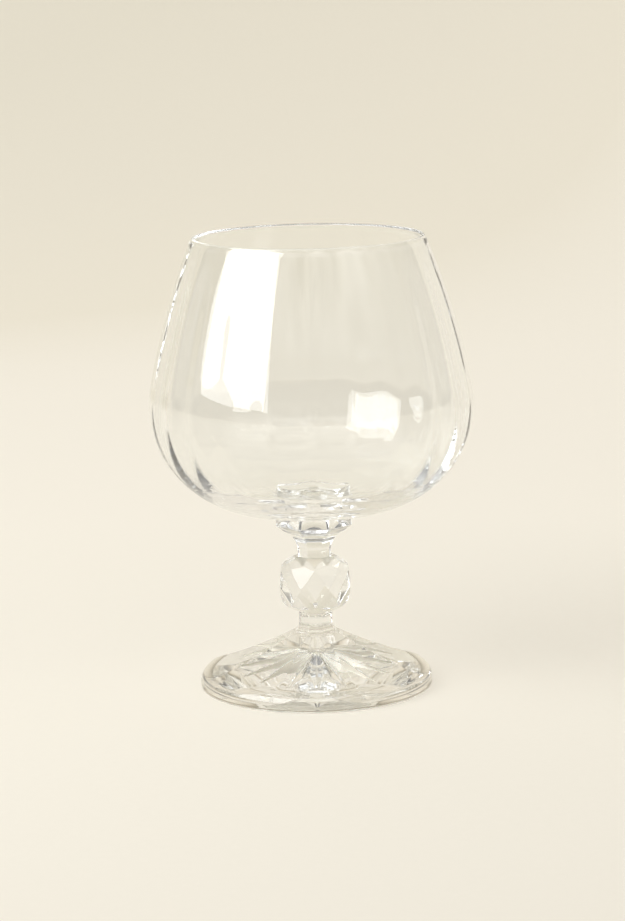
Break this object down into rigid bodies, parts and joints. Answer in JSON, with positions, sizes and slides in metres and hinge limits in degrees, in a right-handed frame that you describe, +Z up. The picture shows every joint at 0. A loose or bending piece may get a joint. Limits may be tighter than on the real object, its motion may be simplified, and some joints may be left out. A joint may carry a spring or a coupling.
{
  "type": "brandy glass",
  "caption": "Clear stemmed glass for brandy with a wide bowl narrowing to the rim, a flared collar, a cut ball knop and a round panelled foot.",
  "frame": {"origin": "centre of the plane that the foot rests on", "axes": "+Z up along the axis of the glass; -Y towards a flat face of the stem and a panel of the foot"},
  "size_m": [0.0966, 0.0966, 0.136],
  "materials": {
    "crystal": "clear polished"
  },
  "bodies": {
    "root": {"bowl": "crystal", "collar": "crystal", "knop": "crystal", "neck": "crystal", "foot": "crystal"}
  },
  "joints": []
}
